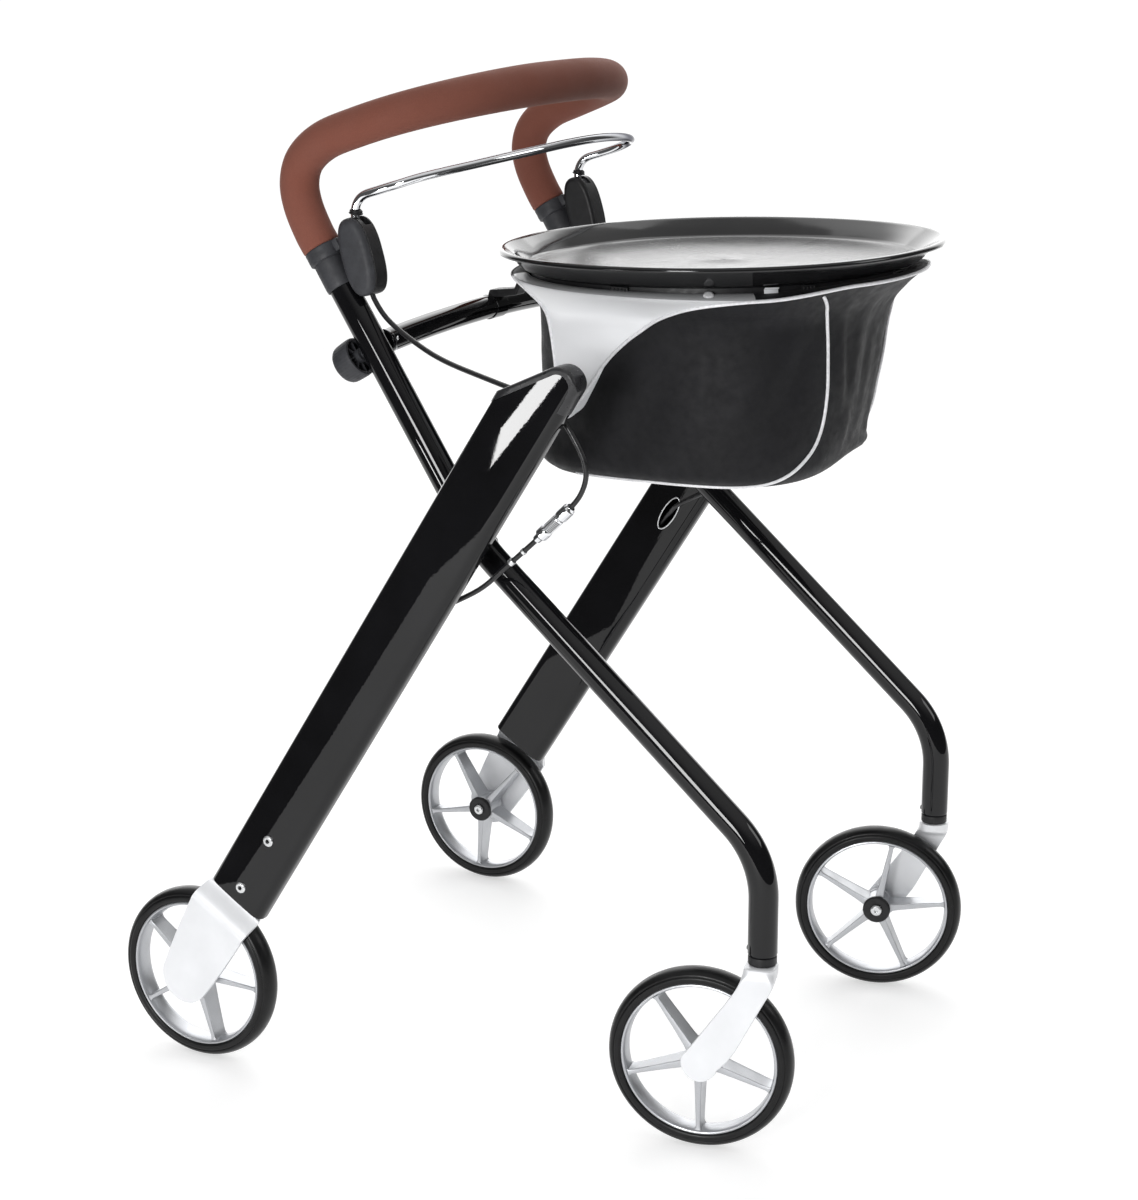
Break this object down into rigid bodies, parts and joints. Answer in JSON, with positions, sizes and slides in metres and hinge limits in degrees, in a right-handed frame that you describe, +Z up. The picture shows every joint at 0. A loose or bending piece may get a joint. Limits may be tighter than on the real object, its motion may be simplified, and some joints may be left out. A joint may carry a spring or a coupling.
{
  "type": "indoor rollator",
  "caption": "Folding indoor walking frame on wheels, with a curved foam grip, an all-round brake bar, a round serving tray and a fabric bag.",
  "frame": {"origin": "on the floor under the middle of the walker's outer box", "axes": "+Z up, front (the tray and the casters) toward -Y, the user stands on the +Y side, the user's right is -X"},
  "size_m": [0.5282, 0.6252, 0.8415],
  "materials": {
    "gloss_black": "gloss",
    "satin_black": "satin",
    "matt_black": "matte",
    "matt_grey": "matte",
    "silver": "satin",
    "wheel_silver": "satin",
    "chrome": "polished",
    "steel": "satin",
    "tube_metal": "satin",
    "tyre_rubber": "satin",
    "foam": "matte",
    "fabric": "matte",
    "shoe_rubber": "matte"
  },
  "bodies": {
    "frame": {"frame_tube_right": "gloss_black", "frame_tube_left": "gloss_black", "crossbar": "gloss_black", "tube_sleeve_right": "matt_grey", "tube_sleeve_left": "matt_grey", "ring_bracket": "matt_black", "holder_ring": "matt_black", "pivot_bolt_right": "steel", "pivot_bolt_left": "steel", "pivot_spacer_right": "matt_black", "pivot_spacer_left": "matt_black", "brake_cable_right": "satin_black", "brake_cable_left": "satin_black", "cable_adjuster_right": "silver", "cable_adjuster_left": "silver"},
    "handlebar": {"handlebar_tube": "tube_metal", "handle_grip": "foam", "grip_clamp_right": "matt_grey", "grip_clamp_left": "matt_grey", "brake_housing_right": "matt_black", "brake_housing_left": "matt_black", "brake_cover_right": "matt_grey", "brake_cover_left": "matt_grey"},
    "brake_bar": {"brake_bar": "chrome", "bar_collar_right": "matt_black", "bar_collar_left": "matt_black"},
    "tray": {"tray": "satin_black"},
    "bag": {"bag": "fabric"},
    "knob_right": {"clamp_knob_right": "matt_grey"},
    "leg_right": {"rear_leg_right": "gloss_black", "leg_cap_right": "matt_grey", "rear_fork_right": "silver", "fork_screw_lower_right": "steel", "fork_screw_upper_right": "steel", "axle_rear_right": "steel", "hub_cap_rear_right": "satin_black"},
    "shoe_right": {"brake_shoe_right": "shoe_rubber"},
    "rear_wheel_right": {"rim_rear_right": "wheel_silver", "tyre_rear_right": "tyre_rubber"},
    "caster_right": {"caster_fork_right": "silver", "axle_front_right": "steel", "hub_cap_front_right": "satin_black"},
    "front_wheel_right": {"rim_front_right": "wheel_silver", "tyre_front_right": "tyre_rubber"},
    "knob_left": {"clamp_knob_left": "matt_grey"},
    "leg_left": {"rear_leg_left": "gloss_black", "leg_cap_left": "matt_grey", "rear_fork_left": "silver", "fork_screw_lower_left": "steel", "fork_screw_upper_left": "steel", "axle_rear_left": "steel", "hub_cap_rear_left": "satin_black"},
    "shoe_left": {"brake_shoe_left": "shoe_rubber"},
    "rear_wheel_left": {"rim_rear_left": "wheel_silver", "tyre_rear_left": "tyre_rubber"},
    "caster_left": {"caster_fork_left": "silver", "axle_front_left": "steel", "hub_cap_front_left": "satin_black"},
    "front_wheel_left": {"rim_front_left": "wheel_silver", "tyre_front_left": "tyre_rubber"}
  },
  "joints": [
    {"name": "handle_height", "type": "slide", "parent": "frame", "child": "handlebar", "axis": [0, 0.5341, 0.8454], "range_m": [0, 0.09]},
    {"name": "brake_bar_squeeze", "type": "hinge", "parent": "handlebar", "child": "brake_bar", "pos_m": [0, 0.09062, 0.6884], "axis": [1, 0, 0], "range_deg": [-12, 0], "stiffness_Nm_per_rad": 1.5},
    {"name": "tray_lift_off", "type": "slide", "parent": "frame", "child": "tray", "axis": [0, 0, 1], "range_m": [0, 0.06]},
    {"name": "bag_pull_off", "type": "slide", "parent": "frame", "child": "bag", "axis": [0, 0, -1], "range_m": [0, 0.1]},
    {"name": "knob_turn_right", "type": "hinge", "parent": "frame", "child": "knob_right", "pos_m": [-0.18916, 0.09791, 0.617], "axis": [0, 0.8454, -0.5341], "range_deg": [0, 360]},
    {"name": "leg_fold_right", "type": "hinge", "parent": "frame", "child": "leg_right", "pos_m": [-0.24252, -0.01501, 0.46909], "axis": [1, 0, 0], "range_deg": [-40, 0], "deforming": ["brake_cable_right"]},
    {"name": "shoe_press_right", "type": "slide", "parent": "leg_right", "child": "shoe_right", "axis": [0, 0.5382, -0.8428], "range_m": [0, 0.0115]},
    {"name": "rear_wheel_spin_right", "type": "hinge", "parent": "leg_right", "child": "rear_wheel_right", "pos_m": [-0.24489, 0.23663, 0.076], "axis": [1, 0, 0], "continuous": true},
    {"name": "caster_swivel_right", "type": "hinge", "parent": "frame", "child": "caster_right", "pos_m": [-0.18916, -0.26666, 0.16298], "axis": [0, 0, 1], "continuous": true},
    {"name": "front_wheel_spin_right", "type": "hinge", "parent": "caster_right", "child": "front_wheel_right", "pos_m": [-0.19882, -0.21916, 0.076], "axis": [0.9799, 0.1994, 0], "continuous": true},
    {"name": "knob_turn_left", "type": "hinge", "parent": "frame", "child": "knob_left", "pos_m": [0.18916, 0.09791, 0.617], "axis": [0, 0.8454, -0.5341], "range_deg": [0, 360]},
    {"name": "leg_fold_left", "type": "hinge", "parent": "frame", "child": "leg_left", "pos_m": [0.24252, -0.01501, 0.46909], "axis": [1, 0, 0], "range_deg": [-40, 0], "deforming": ["brake_cable_left"]},
    {"name": "shoe_press_left", "type": "slide", "parent": "leg_left", "child": "shoe_left", "axis": [0, 0.5382, -0.8428], "range_m": [0, 0.0115]},
    {"name": "rear_wheel_spin_left", "type": "hinge", "parent": "leg_left", "child": "rear_wheel_left", "pos_m": [0.24489, 0.23663, 0.076], "axis": [1, 0, 0], "continuous": true},
    {"name": "caster_swivel_left", "type": "hinge", "parent": "frame", "child": "caster_left", "pos_m": [0.18916, -0.26666, 0.16298], "axis": [0, 0, 1], "continuous": true},
    {"name": "front_wheel_spin_left", "type": "hinge", "parent": "caster_left", "child": "front_wheel_left", "pos_m": [0.17555, -0.22014, 0.076], "axis": [0.9598, 0.2807, 0], "continuous": true}
  ],
  "couplings": [
    {"joint": "shoe_press_right", "follows": "brake_bar_squeeze", "m_per_rad": -0.054908},
    {"joint": "shoe_press_left", "follows": "brake_bar_squeeze", "m_per_rad": -0.054908},
    {"joint": "leg_fold_left", "follows": "leg_fold_right", "ratio": 1}
  ]
}
